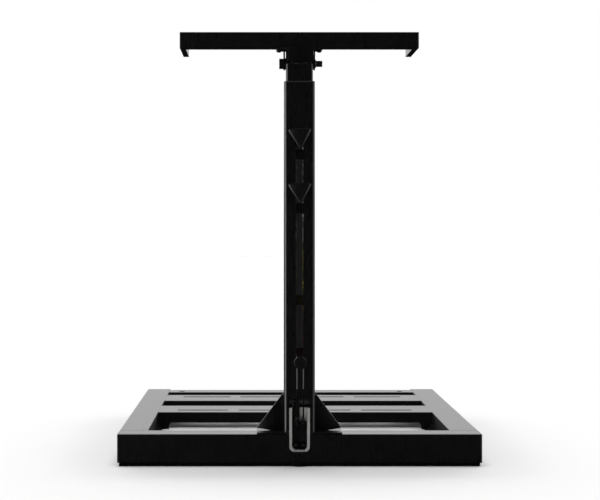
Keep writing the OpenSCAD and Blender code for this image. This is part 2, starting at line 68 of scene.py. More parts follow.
# ---- Camera and studio ----
# A level camera a little left of the column, in a white studio with a lit wall behind,
# a light overhead, a soft box on each side and a pale floor.

front_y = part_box("front_beam")[0].y
stand_off = 3.77
eye_height = 0.615
left_of_middle = 0.1095

camera = bpy.data.objects.new("camera", bpy.data.cameras.new("camera"))
bpy.context.scene.collection.objects.link(camera)
camera.data.lens = 87.0
camera.data.sensor_width = 36.0
camera.data.shift_x = 0.0708
camera.data.shift_y = -0.0332
camera.data.clip_end = 60.0
camera.location = (-left_of_middle, front_y - stand_off, eye_height)
camera.rotation_euler = (math.radians(90), 0, 0)
bpy.context.scene.camera = camera
bpy.context.scene.view_settings.view_transform = "Standard"


def wire(tree, node_type, **inputs):
    """Adds a node, sets its properties and inputs, and joins inputs given as sockets."""
    node = tree.nodes.new(node_type)
    for name, value in inputs.items():
        if hasattr(node, name):
            setattr(node, name, value)
            continue
        numbered = name[0] == "i" and name[1:].isdigit()
        socket = node.inputs[int(name[1:])] if numbered else node.inputs[name.replace("_", " ")]
        if isinstance(value, bpy.types.NodeSocket):
            tree.links.new(value, socket)
        else:
            socket.default_value = value
    return node


def ramped(tree, source, low, high, to_low, to_high):
    """Maps a value from one span to another, smoothly and held at both ends."""
    return wire(tree, "ShaderNodeMapRange", interpolation_type="SMOOTHSTEP", i0=source,
                i1=low, i2=high, i3=to_low, i4=to_high).outputs[0]


def math_of(tree, operation, *values):
    """Joins two or more values by one operation, in turn."""
    total = values[0]
    for value in values[1:]:
        total = wire(tree, "ShaderNodeMath", operation=operation, i0=total, i1=value).outputs[0]
    return total


def soft_box(tree, side, depth, height, strength):
    """A tall box of light at one side, from in front of the tower to beside it."""
    return math_of(tree, "MULTIPLY", ramped(tree, side, 0.50, 0.64, 0.0, strength),
                   ramped(tree, depth, 0.04, 0.2, 1.0, 0.0),
                   ramped(tree, height, -0.55, -0.2, 0.3, 1.0),
                   ramped(tree, height, 0.6, 0.85, 1.0, 0.0))


world = bpy.data.worlds.new("studio")
world.use_nodes = True
bpy.context.scene.world = world
sky = world.node_tree
sky.nodes.clear()
compass = wire(sky, "ShaderNodeSeparateXYZ",
               i0=wire(sky, "ShaderNodeTexCoord").outputs["Generated"]).outputs
westward = math_of(sky, "MULTIPLY", compass["X"], -1.0)
back_wall = math_of(sky, "MULTIPLY", ramped(sky, compass["Y"], 0.25, 0.6, 0.0, 1.12),
                    ramped(sky, compass["Z"], 0.0, 0.08, 0.0, 1.0),
                    ramped(sky, compass["Z"], 0.5, 0.8, 1.0, 0.12))
mirrored = math_of(sky, "ADD", back_wall, 0.01,
                   soft_box(sky, westward, compass["Y"], compass["Z"], 3.8),
                   soft_box(sky, compass["X"], compass["Y"], compass["Z"], 1.3))
from_low = math_of(sky, "MULTIPLY", ramped(sky, compass["Y"], 0.1, 0.8, 1.2, 6.2),
                   ramped(sky, compass["Z"], 0.0, 0.12, 0.0, 1.0),
                   ramped(sky, compass["Z"], 0.38, 0.52, 1.0, 0.0))
spread = math_of(sky, "ADD", ramped(sky, compass["Z"], 0.85, 0.97, 0.03, 3.7), from_low)
rays = wire(sky, "ShaderNodeLightPath").outputs
strength = wire(sky, "ShaderNodeMix", Factor=rays["Is Glossy Ray"], A=spread, B=mirrored).outputs[0]
lit = wire(sky, "ShaderNodeBackground", Strength=strength, Color=(1, 1, 1, 1))
seen = wire(sky, "ShaderNodeBackground", Strength=1.0, Color=(1, 1, 1, 1))
mixed = wire(sky, "ShaderNodeMixShader", i0=rays["Is Camera Ray"], i1=lit.outputs[0],
             i2=seen.outputs[0])
wire(sky, "ShaderNodeOutputWorld", i0=mixed.outputs[0])

bpy.ops.mesh.primitive_plane_add(size=60, location=(0, 0, 0))
floor = bpy.context.active_object
floor.name = "floor"
floor.visible_glossy = False
floor_paper = bpy.data.materials.new("floor_paper")
floor_paper.use_nodes = True
floor_shader = floor_paper.node_tree.nodes["Principled BSDF"]
floor_shader.inputs["Base Color"].default_value = (0.82, 0.82, 0.82, 1)
floor_shader.inputs["Roughness"].default_value = 1.0
floor_shader.inputs["Specular IOR Level"].default_value = 0.0
floor.data.materials.append(floor_paper)


# ---- Base frame: square steel tube, welded, with a satin black powder coat ----
# The beams are sawn to length and welded into a rectangle. The coat has a fine grain
# that runs up and down, and a few faint rubbed places.


def group_of(name, inputs, outputs):
    """A shader node group with named sockets, and its input and output nodes."""
    tree = bpy.data.node_groups.new(name, "ShaderNodeTree")
    for socket, kind in inputs:
        tree.interface.new_socket(socket, in_out="INPUT", socket_type="NodeSocket" + kind)
    for socket, kind in outputs:
        tree.interface.new_socket(socket, in_out="OUTPUT", socket_type="NodeSocket" + kind)
    return tree, tree.nodes.new("NodeGroupInput").outputs, tree.nodes.new("NodeGroupOutput").inputs


surface_grain, given, out = group_of(
    "surface_grain",
    [("Density", "Vector"), ("Dark", "Color"), ("Light", "Color"), ("Smooth", "Float"),
     ("Rough", "Float"), ("Rubbed", "Color"), ("Rubbing", "Float")],
    [("Color", "Color"), ("Roughness", "Float"), ("Height", "Float")])
place = wire(surface_grain, "ShaderNodeTexCoord").outputs["Object"]
stretched = wire(surface_grain, "ShaderNodeVectorMath", operation="MULTIPLY", i0=place,
                 i1=given["Density"]).outputs[0]
fine = wire(surface_grain, "ShaderNodeTexNoise", Vector=stretched, Scale=1.0, Detail=4.0,
            Roughness=0.6).outputs[0]
cloud = wire(surface_grain, "ShaderNodeTexNoise", Vector=place, Scale=9.0, Detail=3.0).outputs[0]
rub = wire(surface_grain, "ShaderNodeTexNoise", Vector=place, Scale=34.0, Detail=5.0,
           Distortion=1.4).outputs[0]
rub = math_of(surface_grain, "MULTIPLY", ramped(surface_grain, rub, 0.58, 0.72, 0.0, 1.0),
              ramped(surface_grain, cloud, 0.45, 0.62, 0.15, 1.0), given["Rubbing"])
blend = math_of(surface_grain, "ADD", math_of(surface_grain, "MULTIPLY", fine, 0.85),
                math_of(surface_grain, "MULTIPLY", cloud, 0.15))
blend = ramped(surface_grain, blend, 0.3, 0.7, 0.0, 1.0)
tone = wire(surface_grain, "ShaderNodeMix", data_type="RGBA", i0=blend, i6=given["Dark"],
            i7=given["Light"]).outputs[2]
tone = wire(surface_grain, "ShaderNodeMix", data_type="RGBA", i0=rub, i6=tone,
            i7=given["Rubbed"]).outputs[2]
surface_grain.links.new(tone, out["Color"])
surface_grain.links.new(wire(surface_grain, "ShaderNodeMapRange", i0=blend, i3=given["Smooth"],
                             i4=given["Rough"]).outputs[0], out["Roughness"])
surface_grain.links.new(fine, out["Height"])


def finish(name, dark, light, smooth, rough, density, relief, rubbed=(0.02, 0.02, 0.02),
           rubbing=0.3, metallic=0.0, specular=0.5):
    """A material whose colour, roughness and height carry a grain and rubbed places."""
    material = bpy.data.materials.new(name)
    material.use_nodes = True
    tree = material.node_tree
    shader = tree.nodes["Principled BSDF"]
    shader.inputs["Metallic"].default_value = metallic
    shader.inputs["Specular IOR Level"].default_value = specular
    grain = wire(tree, "ShaderNodeGroup", node_tree=surface_grain)
    values = {"Density": density, "Dark": (*dark, 1), "Light": (*light, 1), "Smooth": smooth,
              "Rough": rough, "Rubbed": (*rubbed, 1), "Rubbing": rubbing}
    for socket, value in values.items():
        grain.inputs[socket].default_value = value
    tree.links.new(grain.outputs["Color"], shader.inputs["Base Color"])
    tree.links.new(grain.outputs["Roughness"], shader.inputs["Roughness"])
    raised = wire(tree, "ShaderNodeBump", Strength=relief, Distance=0.0004,
                  Height=grain.outputs["Height"])
    tree.links.new(raised.outputs[0], shader.inputs["Normal"])
    return material


def dress(material, *names):
    """Gives CAD nodes a material in place of their plain one."""
    for name in names:
        nodes[name].data.materials.clear()
        nodes[name].data.materials.append(material)


def hold(piece):
    """Makes one piece the only selected one, in object mode."""
    if bpy.context.object and bpy.context.object.mode == "EDIT":
        bpy.ops.object.mode_set(mode="OBJECT")
    bpy.ops.object.select_all(action="DESELECT")
    bpy.context.view_layer.objects.active = piece
    piece.select_set(True)
    return piece


def pick(piece, kind, wanted):
    """Selects the vertices, edges or faces whose centre and direction pass a test."""
    hold(piece)
    bpy.ops.object.mode_set(mode="EDIT")
    bpy.ops.mesh.select_mode(type=kind)
    bpy.ops.mesh.select_all(action="DESELECT")
    mesh = bmesh.from_edit_mesh(piece.data)
    for part in {"VERT": mesh.verts, "EDGE": mesh.edges, "FACE": mesh.faces}[kind]:
        corners = [part] if kind == "VERT" else part.verts
        centre = sum((corner.co for corner in corners), Vector()) / len(corners)
        if kind == "EDGE":
            heading = (corners[1].co - corners[0].co).normalized()
        else:
            heading = part.normal
        part.select_set(bool(wanted(centre, heading)))
    mesh.select_flush_mode()
    bmesh.update_edit_mesh(piece.data)


def shaped(piece, kind, **settings):
    """Adds a modifier and applies it."""
    hold(piece)
    modifier = piece.modifiers.new(kind, kind)
    for name, value in settings.items():
        setattr(modifier, name, value)
    bpy.ops.object.modifier_apply(modifier=modifier.name)


def settled(piece):
    """Applies a piece's place, turn and size to its mesh."""
    hold(piece)
    bpy.ops.object.transform_apply(location=True, rotation=True, scale=True)
    return piece


def joined(pieces, name):
    """Joins pieces into one."""
    hold(pieces[0])
    for piece in pieces[1:]:
        piece.select_set(True)
    bpy.ops.object.join()
    pieces[0].name = name
    return pieces[0]


def fitted(piece, name, material, body, slot, *stands_for, smooth=35):
    """Settles a finished piece, gives it its material and joins it to its body."""
    settled(piece)
    bpy.ops.object.shade_smooth_by_angle(angle=math.radians(smooth))
    piece.name = name
    piece.data.materials.clear()
    piece.data.materials.append(material)
    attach(piece, body)
    if stands_for:
        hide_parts(*stands_for)
    return piece


def softened(node, width, material):
    """A CAD node's own shape with its sharp edges rounded, in the node's place."""
    piece = bpy.data.objects.new(node, nodes[node].data.copy())
    bpy.context.scene.collection.objects.link(piece)
    hold(piece)
    bpy.ops.mesh.customdata_custom_splitnormals_clear()
    bpy.ops.object.mode_set(mode="EDIT")
    bpy.ops.mesh.select_all(action="SELECT")
    bpy.ops.mesh.remove_doubles(threshold=1e-6)
    bpy.ops.mesh.dissolve_limited(angle_limit=math.radians(1))
    shaped(piece, "BEVEL", width=width, segments=2, limit_method="ANGLE",
           angle_limit=math.radians(32), miter_outer="MITER_ARC")
    return fitted(piece, node + "_rounded", material, nodes[node]["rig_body"], slot_of[node], node)


powder_coat = finish("powder_coat", (0.0003, 0.0003, 0.0003), (0.0018, 0.0018, 0.0019),
                     0.27, 0.33, (330, 330, 40), 0.15, (0.008, 0.008, 0.0085), 0.2)
dress(powder_coat, "front_beam", "left_side_beam", "right_side_beam", "rear_beam")
end_plate_edge = 0.0022
softened("front_beam_end_plates", end_plate_edge, powder_coat)
weld_coat = finish("coated_weld", (0.002, 0.002, 0.0021), (0.007, 0.007, 0.0075), 0.3, 0.45,
                   (700, 700, 700), 0.3)


def weld(start, end, radius=0.0023, pitch=0.0019):
    """A weld bead with its ripples, along a straight joint."""
    run = Vector(end) - Vector(start)
    rings = int(run.length / pitch)
    bpy.ops.mesh.primitive_cylinder_add(vertices=8, radius=radius, depth=run.length)
    bead = bpy.context.active_object
    pick(bead, "EDGE", lambda centre, heading: abs(heading.z) > 0.9)
    bpy.ops.mesh.subdivide(number_cuts=rings)
    step = run.length / (rings + 1)
    pick(bead, "VERT", lambda centre, heading: round((centre.z + run.length / 2) / step) % 2 == 0)
    bpy.ops.transform.resize(value=(0.74, 0.74, 1))
    hold(bead)
    bead.rotation_euler = run.to_track_quat("Z", "Y").to_euler()
    bead.location = (Vector(start) + Vector(end)) / 2
    return settled(bead)


beam_low, beam_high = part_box("front_beam")
side_low, side_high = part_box("right_side_beam")
rear_low, rear_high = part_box("rear_beam")
inner_x = side_low.x
weld_stop = 0.003
frame_welds = []
ground_z = beam_high.z - end_plate_edge
for side in (-1, 1):
    corner = side * inner_x
    for seam in (beam_high.y, rear_low.y, rear_high.y):
        frame_welds.append(weld((corner, seam, beam_low.z + weld_stop),
                                (corner, seam, beam_high.z - weld_stop)))
    frame_welds.append(weld((corner, beam_high.y, ground_z),
                            (side * (side_high.x - 0.0024), beam_high.y, ground_z),
                            end_plate_edge))
fitted(joined(frame_welds, "frame_welds"), "frame_welds", weld_coat, "base", "paint")


# ---- Side beam caps: black nylon plugs with a moulded grain ----
# Each is a square lid with a hollow plug behind it, pressed into the tube's open end.

moulded_nylon = finish("moulded_nylon", (0.009, 0.009, 0.0095), (0.017, 0.017, 0.018),
                       0.42, 0.58, (1400, 1400, 1400), 0.25, (0.03, 0.03, 0.03), 0.3)
softened("side_beam_caps", 0.0012, moulded_nylon)


# ---- Accessory rails and cleats: folded steel plate, slotted, powder coated ----
# Each rail rests on an angle cleat at either end. Two zinc-plated hexagon bolts hold
# each cleat to the side beam.

dress(powder_coat, "front_rail", "rear_rail")
softened("rail_cleats", 0.0008, powder_coat)

zinc_plate = finish("zinc_plate", (0.30, 0.31, 0.32), (0.52, 0.53, 0.55), 0.22, 0.42,
                    (500, 500, 500), 0.1, (0.2, 0.2, 0.19), 0.4, metallic=1.0)


def hex_head(centre, across, height, outward, collar=0.0):
    """A hexagon head with a turned chamfer, facing along an axis, with or without a collar."""
    bpy.ops.mesh.primitive_cylinder_add(vertices=6, radius=across / math.sqrt(3), depth=height)
    head = bpy.context.active_object
    pick(head, "FACE", lambda middle, normal: normal.z > 0.9)
    bpy.ops.mesh.inset(thickness=across * 0.05)
    bpy.ops.mesh.bevel(offset=across * 0.045, segments=2)
    pick(head, "EDGE", lambda middle, heading: abs(heading.z) > 0.9)
    bpy.ops.mesh.bevel(offset=across * 0.02, segments=2)
    parts = [head]
    if collar:
        bpy.ops.object.mode_set(mode="OBJECT")
        bpy.ops.mesh.primitive_cylinder_add(vertices=32, radius=collar / 2, depth=height * 0.24,
                                            location=(0, 0, -height * 0.38))
        washer = bpy.context.active_object
        pick(washer, "FACE", lambda middle, normal: abs(normal.z) > 0.9)
        bpy.ops.mesh.bevel(offset=height * 0.05, segments=2)
        parts.append(washer)
    head = joined(parts, "hex_head")
    head.rotation_euler = Vector(outward).to_track_quat("Z", "Y").to_euler()
    head.location = centre
    return settled(head)


cleat_thick = 0.004
bolt_across = 0.013
bolt_head_h = 0.005
bolt_collar = 0.0145
bolt_step = 0.02
bolt_low, bolt_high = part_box("rail_bolts")
bolt_x = inner_x - cleat_thick - bolt_head_h / 2
bolt_z = (bolt_low.z + bolt_high.z) / 2
heads = []
for side in (-1, 1):
    for rail in ("front_rail", "rear_rail"):
        rail_low, rail_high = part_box(rail)
        for step in (-bolt_step, bolt_step):
            heads.append(hex_head((side * bolt_x, (rail_low.y + rail_high.y) / 2 + step, bolt_z),
                                  bolt_across, bolt_head_h, (-side, 0, 0), bolt_collar))
fitted(joined(heads, "rail_bolt_heads"), "rail_bolt_heads", zinc_plate, "base", "zinc_steel",
       "rail_bolts")


# ---- Rubber feet: cut strips under every beam, and a round foot under the column ----
# The strips are matt black rubber, glued on. The round foot has a moulded ring.

matt_rubber = finish("matt_rubber", (0.0004, 0.0004, 0.0004), (0.0016, 0.0016, 0.0016), 0.8, 0.95,
                     (420, 420, 420), 0.35, (0.004, 0.0038, 0.0036), 0.35, specular=0.05)
dress(matt_rubber, "front_foot_strip", "left_foot_strip", "right_foot_strip", "rear_foot_strip")

foot_low, foot_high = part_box("centre_foot")
bpy.ops.mesh.primitive_cylinder_add(
    vertices=64, radius=(foot_high.x - foot_low.x) / 2, depth=foot_high.z - foot_low.z,
    location=(0, (foot_low.y + foot_high.y) / 2, (foot_low.z + foot_high.z) / 2))
foot = settled(bpy.context.active_object)
pick(foot, "FACE", lambda centre, normal: normal.z < -0.9)
bpy.ops.mesh.bevel(offset=0.0015, segments=3)
for inset, lift in ((0.006, 0.0), (0.002, 0.0015), (0.005, 0.0), (0.002, -0.0015)):
    pick(foot, "FACE", lambda centre, normal: normal.z < -0.9 and abs(centre.x) < 0.001)
    bpy.ops.mesh.inset(thickness=inset)
    bpy.ops.transform.translate(value=(0, 0, lift))
fitted(foot, "centre_foot_moulded", matt_rubber, "base", "rubber", "centre_foot")


# ---- Column: flange, gussets and square tube, welded and powder coated ----
# The tube stands on a plate across the front beam, with a gusset on either side.
# Nylon bushes guide the post, and the windows in its face have nylon rims.

for node in ("column_flange", "left_gusset", "right_gusset"):
    softened(node, 0.0009, powder_coat)
dress(powder_coat, "column_tube")
softened("clamp_nuts", 0.0012, powder_coat)
softened("upper_guide_bush", 0.0007, moulded_nylon)
dress(moulded_nylon, "lower_guide_bush")

column_low, column_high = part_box("column_tube")
flange_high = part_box("column_flange")[1]
gusset_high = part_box("right_gusset")[1]
rear_seam = 0.033
gusset_seam = 0.072
corner_r = 0.007
thin_bead = 0.002
column_welds = [weld((-rear_seam, column_high.y, flange_high.z),
                     (rear_seam, column_high.y, flange_high.z))]
for side in (-1, 1):
    wall = side * column_high.x
    column_welds += [
        weld((wall, column_low.y + corner_r + 0.001, flange_high.z),
             (wall, column_high.y - corner_r, flange_high.z)),
        weld((wall, gusset_high.y, flange_high.z + weld_stop),
             (wall, gusset_high.y, gusset_high.z - thin_bead), thin_bead),
        weld((wall, gusset_high.y, flange_high.z),
             (side * gusset_seam, gusset_high.y, flange_high.z), thin_bead)]
fitted(joined(column_welds, "column_welds"), "column_welds", weld_coat, "base", "paint")

matt_liner = finish("matt_liner", (0.0004, 0.0004, 0.0004), (0.0012, 0.0012, 0.0012), 0.7, 0.9,
                    (1200, 1200, 1200), 0.2, specular=0.1)
softened("window_liners", 0.0003, matt_liner)


def tinted(name, colour):
    """Smoked plastic for a window pane, in a dark colour."""
    dark = [value * 0.6 for value in colour]
    return finish(name, dark, colour, 0.5, 0.6, (1100, 1100, 1100), 0.1, colour, 0.2, specular=0.05)


pane_w = 0.0154
pane_thick = 0.0012
set_back = 0.0018


def pane(name, low_z, high_z, material, slot):
    """A thin pane with rounded corners, set back in the column's face."""
    bpy.ops.mesh.primitive_cube_add(
        size=1, location=(0, column_low.y + set_back, (low_z + high_z) / 2),
        scale=(pane_w, pane_thick, high_z - low_z))
    sheet = settled(bpy.context.active_object)
    pick(sheet, "EDGE", lambda centre, heading: abs(heading.y) > 0.9)
    bpy.ops.mesh.bevel(offset=0.002, segments=4)
    pick(sheet, "FACE", lambda centre, normal: normal.y < -0.9)
    bpy.ops.mesh.inset(thickness=pane_thick)
    bpy.ops.transform.translate(value=(0, 0.0003, 0))
    fitted(sheet, name, material, "base", slot)


pane("yellow_window_pane", 0.4218, 0.4442, tinted("smoked_yellow", (0.0045, 0.0036, 0.0006)),
     "zone_yellow")
pane("red_window_pane", 0.2842, 0.3048, tinted("smoked_red", (0.0045, 0.0002, 0.0002)), "zone_red")


# ---- Scale: three printed strips down the column's face ----
# Black film with a row of ticks along either edge, grey at the top, yellow in the
# middle and dark red below. The right row is painted lighter, as painted light from the right.

tick_mask, given, out = group_of(
    "scale_ticks", [("Edge", "Float")], [("Left", "Float"), ("Right", "Float")])
place = wire(tick_mask, "ShaderNodeTexCoord").outputs["Object"]
where = wire(tick_mask, "ShaderNodeSeparateXYZ", i0=place).outputs
minor = wire(tick_mask, "ShaderNodeMath", operation="MODULO", i0=where["Z"], i1=0.005).outputs[0]
major = wire(tick_mask, "ShaderNodeMath", operation="MODULO", i0=where["Z"], i1=0.025).outputs[0]
minor = wire(tick_mask, "ShaderNodeMath", operation="LESS_THAN", i0=minor, i1=0.0016).outputs[0]
major = wire(tick_mask, "ShaderNodeMath", operation="LESS_THAN", i0=major, i1=0.0036).outputs[0]
marks = wire(tick_mask, "ShaderNodeMath", operation="MAXIMUM", i0=minor, i1=major).outputs[0]
worn = wire(tick_mask, "ShaderNodeTexNoise", Vector=place, Scale=75.0).outputs[0]
worn = ramped(tick_mask, worn, 0.42, 0.6, 0.06, 1.0)
for socket, sign in (("Left", -1.0), ("Right", 1.0)):
    across = math_of(tick_mask, "MULTIPLY", where["X"], sign)
    band = wire(tick_mask, "ShaderNodeMath", operation="GREATER_THAN", i0=across,
                i1=given["Edge"]).outputs[0]
    tick_mask.links.new(math_of(tick_mask, "MULTIPLY", band, marks, worn), out[socket])


tick_edge = 0.0071


def printed(name, shaded_left_ink, lit_right_ink):
    """Black film with coloured ticks along both edges, the right row lighter as painted light."""
    material = finish(name, (0.0014, 0.0014, 0.0014), (0.0036, 0.0036, 0.0036), 0.35, 0.45,
                      (600, 600, 60), 0.05)
    tree = material.node_tree
    shader = tree.nodes["Principled BSDF"]
    film = shader.inputs["Base Color"].links[0].from_socket
    ticks = wire(tree, "ShaderNodeGroup", node_tree=tick_mask)
    ticks.inputs["Edge"].default_value = tick_edge
    for socket, ink in (("Left", shaded_left_ink), ("Right", lit_right_ink)):
        film = wire(tree, "ShaderNodeMix", data_type="RGBA", i0=ticks.outputs[socket], i6=film,
                    i7=(*ink, 1)).outputs[2]
    tree.links.new(film, shader.inputs["Base Color"])
    return material


# In each strip the right ticks get a brighter ink than the left: painted light falling from the
# right.
dress(printed("grey_print", (0.04, 0.04, 0.04), (0.2, 0.2, 0.205)), "zone_strip_upper")
dress(printed("yellow_print", (0.025, 0.022, 0.003), (0.15, 0.13, 0.006)), "zone_strip_middle")
dress(printed("red_print", (0.012, 0.0008, 0.0008), (0.06, 0.002, 0.003)), "zone_strip_lower")


# ---- Foot release, fixed parts: acetal guide, steel axle, alloy block, gas spring ----
# The white guide lines the slot that the pedal swings in. The alloy block is bolted
# inside the column and holds the gas spring's polished rod.

# The guide's acetal is white, but its colour is set to a grey of about a third of that: painted
# shade for its place in the slot.
white_acetal = finish("white_acetal", (0.28, 0.28, 0.27), (0.34, 0.34, 0.33), 0.3, 0.42,
                      (300, 300, 300), 0.05, (0.34, 0.33, 0.31), 0.3)
black_oxide = finish("black_oxide", (0.0016, 0.0016, 0.0018), (0.005, 0.005, 0.0055), 0.3, 0.42,
                     (700, 700, 700), 0.12, (0.02, 0.02, 0.02), 0.3, specular=0.2)
blued_steel = finish("blued_steel", (0.02, 0.02, 0.022), (0.035, 0.035, 0.038), 0.3, 0.42,
                     (700, 700, 700), 0.12)
machined_alloy = finish("machined_alloy", (0.35, 0.36, 0.37), (0.55, 0.56, 0.57), 0.25, 0.45,
                        (120, 120, 1500), 0.1, (0.3, 0.3, 0.3), 0.3, metallic=1.0)
polished_chrome = finish("polished_chrome", (0.42, 0.43, 0.44), (0.55, 0.56, 0.57), 0.12, 0.2,
                         (900, 900, 60), 0.03, (0.5, 0.5, 0.5), 0.2, metallic=1.0)
softened("pedal_guide", 0.0008, white_acetal)
softened("guide_screws", 0.0004, matt_liner)
softened("pedal_axle", 0.0008, zinc_plate)
softened("axle_sleeves", 0.0006, blued_steel)
softened("release_block", 0.001, machined_alloy)
dress(polished_chrome, "gas_spring_rod")
dress(moulded_nylon, "gas_spring_cylinder", "thrust_washers")
dress(zinc_plate, "gas_spring_pin", "pivot_spacer")

block_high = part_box("release_block_bolts")[1]
heads = [hex_head((0, block_high.y - bolt_head_h / 2, z), bolt_across, bolt_head_h, (0, 1, 0),
                  bolt_collar) for z in (0.249, 0.297)]
fitted(joined(heads, "block_bolt_heads"), "block_bolt_heads", zinc_plate, "base", "zinc_steel",
       "release_block_bolts")


# ---- Post: a smaller square tube with two ears cut at its top ----
# It slides in the column on the nylon bushes and carries the tilt pin.

dress(powder_coat, "inner_post")


# ---- Head: bracket, tilt pin, crossbar and arms ----
# The bracket is welded from plate, and four screws hold the crossbar to it. The arms
# are flat tubes welded behind the crossbar's ends, with a nylon cap in each open end.

# A copy of the powder coat with less sheen, so the bracket's web reads darker: painted shade under
# the crossbar.
bracket_painted_shade_coat = finish("bracket_painted_shade_coat", (0.0010, 0.0010, 0.0011), (0.0028, 0.0028, 0.003),
                      0.28, 0.34, (620, 620, 70), 0.12, specular=0.2)
softened("head_bracket", 0.0008, bracket_painted_shade_coat)
dress(powder_coat, "crossbar", "left_arm", "right_arm")
for node in ("crossbar_caps", "arm_caps"):
    softened(node, 0.0008, moulded_nylon)
softened("pivot_clip", 0.0003, zinc_plate)

bar_low, bar_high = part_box("crossbar")
arm_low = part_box("right_arm")[0]
arm_welds = [weld((side * arm_low.x, bar_high.y, bar_low.z + 0.002),
                  (side * arm_low.x, bar_high.y, bar_high.z - 0.002), 0.0018)
             for side in (-1, 1)]
fitted(joined(arm_welds, "arm_welds"), "arm_welds", weld_coat, "head", "paint")

screw_low, screw_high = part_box("head_screws")


def socket_screw(centre, width, height, outward):
    """A low round head with a hexagon socket in it, facing along an axis."""
    bpy.ops.mesh.primitive_cylinder_add(vertices=36, radius=width / 2, depth=height)
    screw = bpy.context.active_object
    pick(screw, "FACE", lambda middle, normal: normal.z > 0.9)
    bpy.ops.mesh.bevel(offset=height * 0.35, segments=3)
    hold(screw)
    bpy.ops.mesh.primitive_cylinder_add(vertices=6, radius=width * 0.29, depth=height,
                                        location=(0, 0, height * 0.45))
    key = bpy.context.active_object
    shaped(screw, "BOOLEAN", operation="DIFFERENCE", object=key, solver="EXACT")
    bpy.data.objects.remove(key)
    screw.rotation_euler = Vector(outward).to_track_quat("Z", "Y").to_euler()
    screw.location = centre
    return settled(screw)


screw_w = 0.01
screw_h = 0.0035
screw_x = screw_high.x - screw_w / 2
heads = [socket_screw((x, y, screw_low.z + screw_h / 2), screw_w, screw_h, (0, 0, -1))
         for x in (-screw_x, screw_x)
         for y in (screw_low.y + screw_w / 2, screw_high.y - screw_w / 2)]
fitted(joined(heads, "head_screw_heads"), "head_screw_heads", black_oxide, "head", "black_steel",
       "head_screws")

pin_low, pin_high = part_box("pivot_pin")
pin_y = (pin_low.y + pin_high.y) / 2
pin_z = (pin_low.z + pin_high.z) / 2
pin_r = 0.008
hex_w = 0.024
hex_h = 0.011
head = hex_head((pin_low.x + hex_h / 2, pin_y, pin_z), hex_w, hex_h, (-1, 0, 0))
bpy.ops.mesh.primitive_cylinder_add(
    vertices=48, radius=pin_r, depth=pin_high.x - pin_low.x - hex_h,
    location=((pin_low.x + hex_h + pin_high.x) / 2, pin_y, pin_z),
    rotation=(0, math.radians(90), 0))
shank = settled(bpy.context.active_object)
pick(shank, "FACE", lambda centre, normal: normal.x > 0.9)
bpy.ops.mesh.bevel(offset=0.0012, segments=2)
pick(shank, "FACE", lambda centre, normal: normal.x > 0.9)
bpy.ops.mesh.inset(thickness=0.0035)
bpy.ops.transform.translate(value=(-0.0012, 0, 0))
fitted(joined([head, shank], "tilt_pin"), "tilt_pin", black_oxide, "head", "black_steel",
       "pivot_pin")


# ---- Clamp knobs: three-cornered black mouldings on steel screws ----
# A flat front with a narrow bevel round it, a round hub behind, and an M12 screw that
# presses on the post.

satin_moulding = finish("satin_moulding", (0.0022, 0.0022, 0.0023), (0.0032, 0.0032, 0.0033),
                        0.3, 0.36, (800, 800, 800), 0.05, (0.012, 0.012, 0.012), 0.15,
                        specular=0.3)


def threaded(centre, width, length, pitch, heading):
    """A screw's threaded length, as a rod with crests and roots."""
    turns = int(length / pitch * 2)
    bpy.ops.mesh.primitive_cylinder_add(vertices=28, radius=width / 2, depth=length)
    rod = bpy.context.active_object
    pick(rod, "EDGE", lambda middle, way: abs(way.z) > 0.9)
    bpy.ops.mesh.subdivide(number_cuts=turns)
    step = length / (turns + 1)
    pick(rod, "VERT", lambda middle, way: round((middle.z + length / 2) / step) % 2 == 0)
    bpy.ops.transform.resize(value=(0.88, 0.88, 1))
    hold(rod)
    rod.rotation_euler = Vector(heading).to_track_quat("Z", "Y").to_euler()
    rod.location = centre
    return settled(rod)


